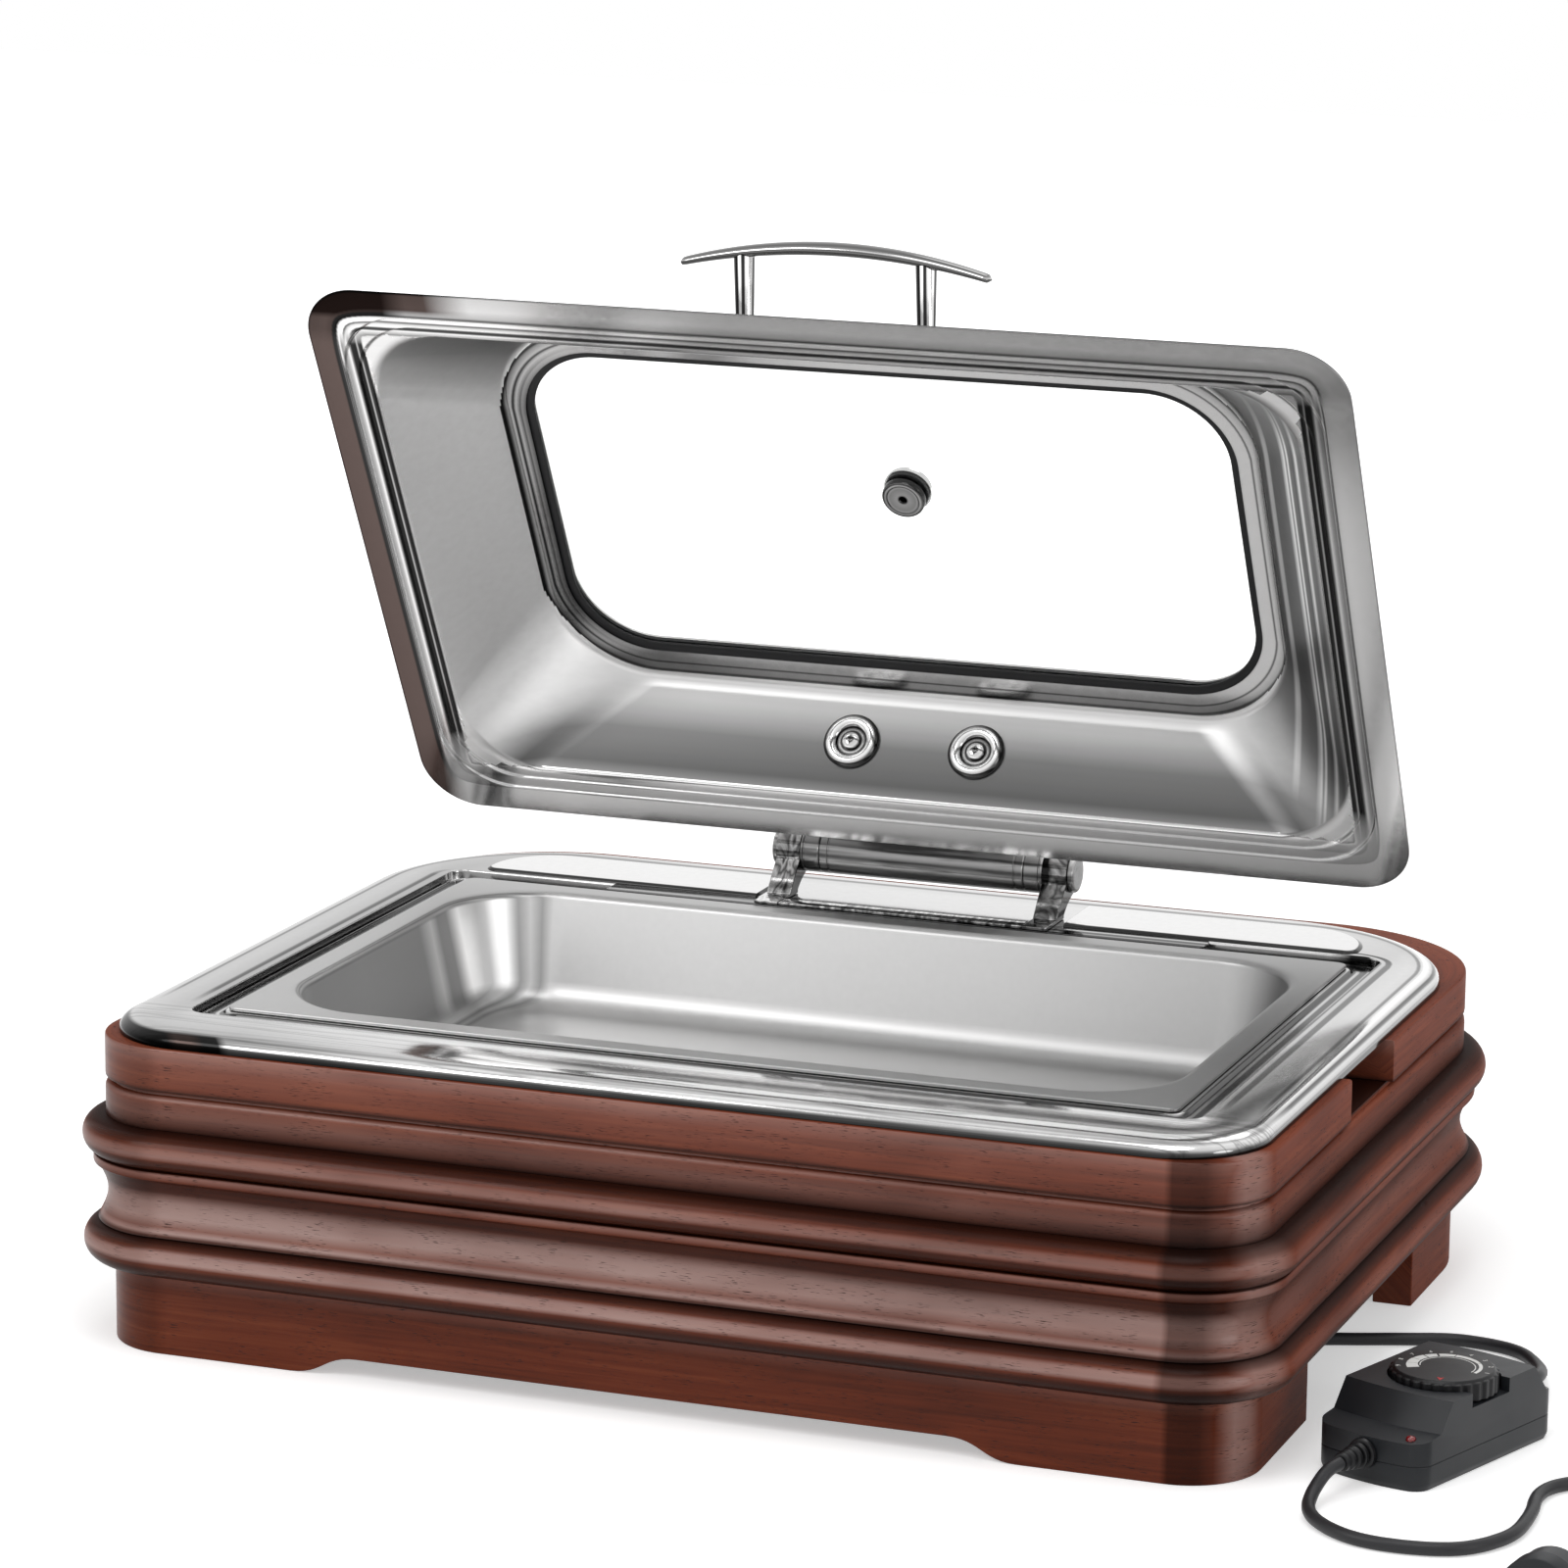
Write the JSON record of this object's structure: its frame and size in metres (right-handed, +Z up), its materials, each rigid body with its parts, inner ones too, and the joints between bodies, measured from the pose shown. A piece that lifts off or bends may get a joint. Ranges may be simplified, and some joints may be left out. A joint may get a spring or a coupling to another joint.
{
  "type": "electric chafing dish",
  "caption": "Full-size electric chafing dish: stacked wooden base, stainless frame, food and water pans, hinged window lid with vent and handle, heater and corded controller",
  "frame": {"origin": "centre of the underside of the wooden base, on the table", "axes": "+Z up, +Y towards the hinge at the back, +X to the right as seen from the front"},
  "size_m": [0.9886, 0.6805, 0.5827],
  "materials": {
    "mahogany": "semi-gloss mahogany stain with small pores and dents",
    "polished_steel": "mirror-polished stainless steel",
    "satin_steel": "satin stainless steel",
    "heater_aluminium": "plain rolled aluminium",
    "dark_steel": "plated steel",
    "seal_rubber": "black silicone",
    "window_glass": "clear tempered glass",
    "case_plastic": "fine-grained charcoal moulding",
    "dial_plastic": "black moulding with a white printed scale",
    "lamp_lens": "clear red lens",
    "circuit_board": "green laminate",
    "cord_sheath": "black flexible sheath"
  },
  "bodies": {
    "base": {"controller_board": "circuit_board", "controller_lamp": "lamp_lens", "controller_lower_case": "case_plastic", "controller_upper_case": "case_plastic", "cord_gland": "case_plastic", "heater_cover": "heater_aluminium", "heater_element": "dark_steel", "heater_lead": "cord_sheath", "heater_plate": "heater_aluminium", "heater_rail_front": "dark_steel", "heater_rail_rear": "dark_steel", "mains_coil": "cord_sheath", "mains_lead": "cord_sheath", "mains_plug": "case_plastic", "plug_lead": "cord_sheath", "strain_relief_heater": "cord_sheath", "strain_relief_mains": "cord_sheath", "terminal_box": "case_plastic", "thermal_cutout": "dark_steel", "wood_band": "mahogany", "wood_cove": "mahogany", "wood_lower_bead": "mahogany", "wood_plinth_front": "mahogany", "wood_plinth_rear": "mahogany", "wood_rail_front": "mahogany", "wood_rail_rear": "mahogany", "wood_upper_bead": "mahogany"},
    "steel_unit": {"steel_frame": "polished_steel", "water_pan": "satin_steel", "food_pan": "satin_steel", "hinge_strip": "polished_steel", "hinge_bracket_left": "polished_steel", "hinge_bracket_right": "polished_steel", "hinge_ring_left": "polished_steel", "hinge_ring_right": "polished_steel", "hinge_cap_left": "polished_steel", "hinge_cap_right": "polished_steel", "hinge_pin": "dark_steel", "hinge_screw_left": "dark_steel", "hinge_screw_right": "dark_steel"},
    "lid": {"handle_bar": "polished_steel", "handle_post_left": "polished_steel", "handle_post_right": "polished_steel", "handle_screw_left": "polished_steel", "handle_screw_right": "polished_steel", "hinge_barrel": "polished_steel", "hinge_leaf": "polished_steel", "leaf_screw_left": "polished_steel", "leaf_screw_right": "polished_steel", "leaf_washer_left": "polished_steel", "leaf_washer_right": "polished_steel", "lid_shell": "polished_steel", "vent_body": "polished_steel", "vent_cap": "polished_steel", "vent_seal": "seal_rubber", "window_gasket": "seal_rubber", "window_glass": "window_glass", "window_trim": "polished_steel"},
    "dial": {"controller_dial": "dial_plastic", "dial_shaft": "dark_steel"}
  },
  "joints": [
    {"name": "unit_lift", "type": "slide", "parent": "base", "child": "steel_unit", "axis": [0, 0, 1], "range_m": [0, 0.12]},
    {"name": "lid_hinge", "type": "hinge", "parent": "steel_unit", "child": "lid", "pos_m": [0, 0.182, 0.2018], "axis": [-1, 0, 0], "range_deg": [-61.03, 29]},
    {"name": "dial_turn", "type": "hinge", "parent": "base", "child": "dial", "pos_m": [0.39678, -0.1513, 0.0465], "axis": [0, 0, 1], "range_deg": [-270, 0]}
  ]
}
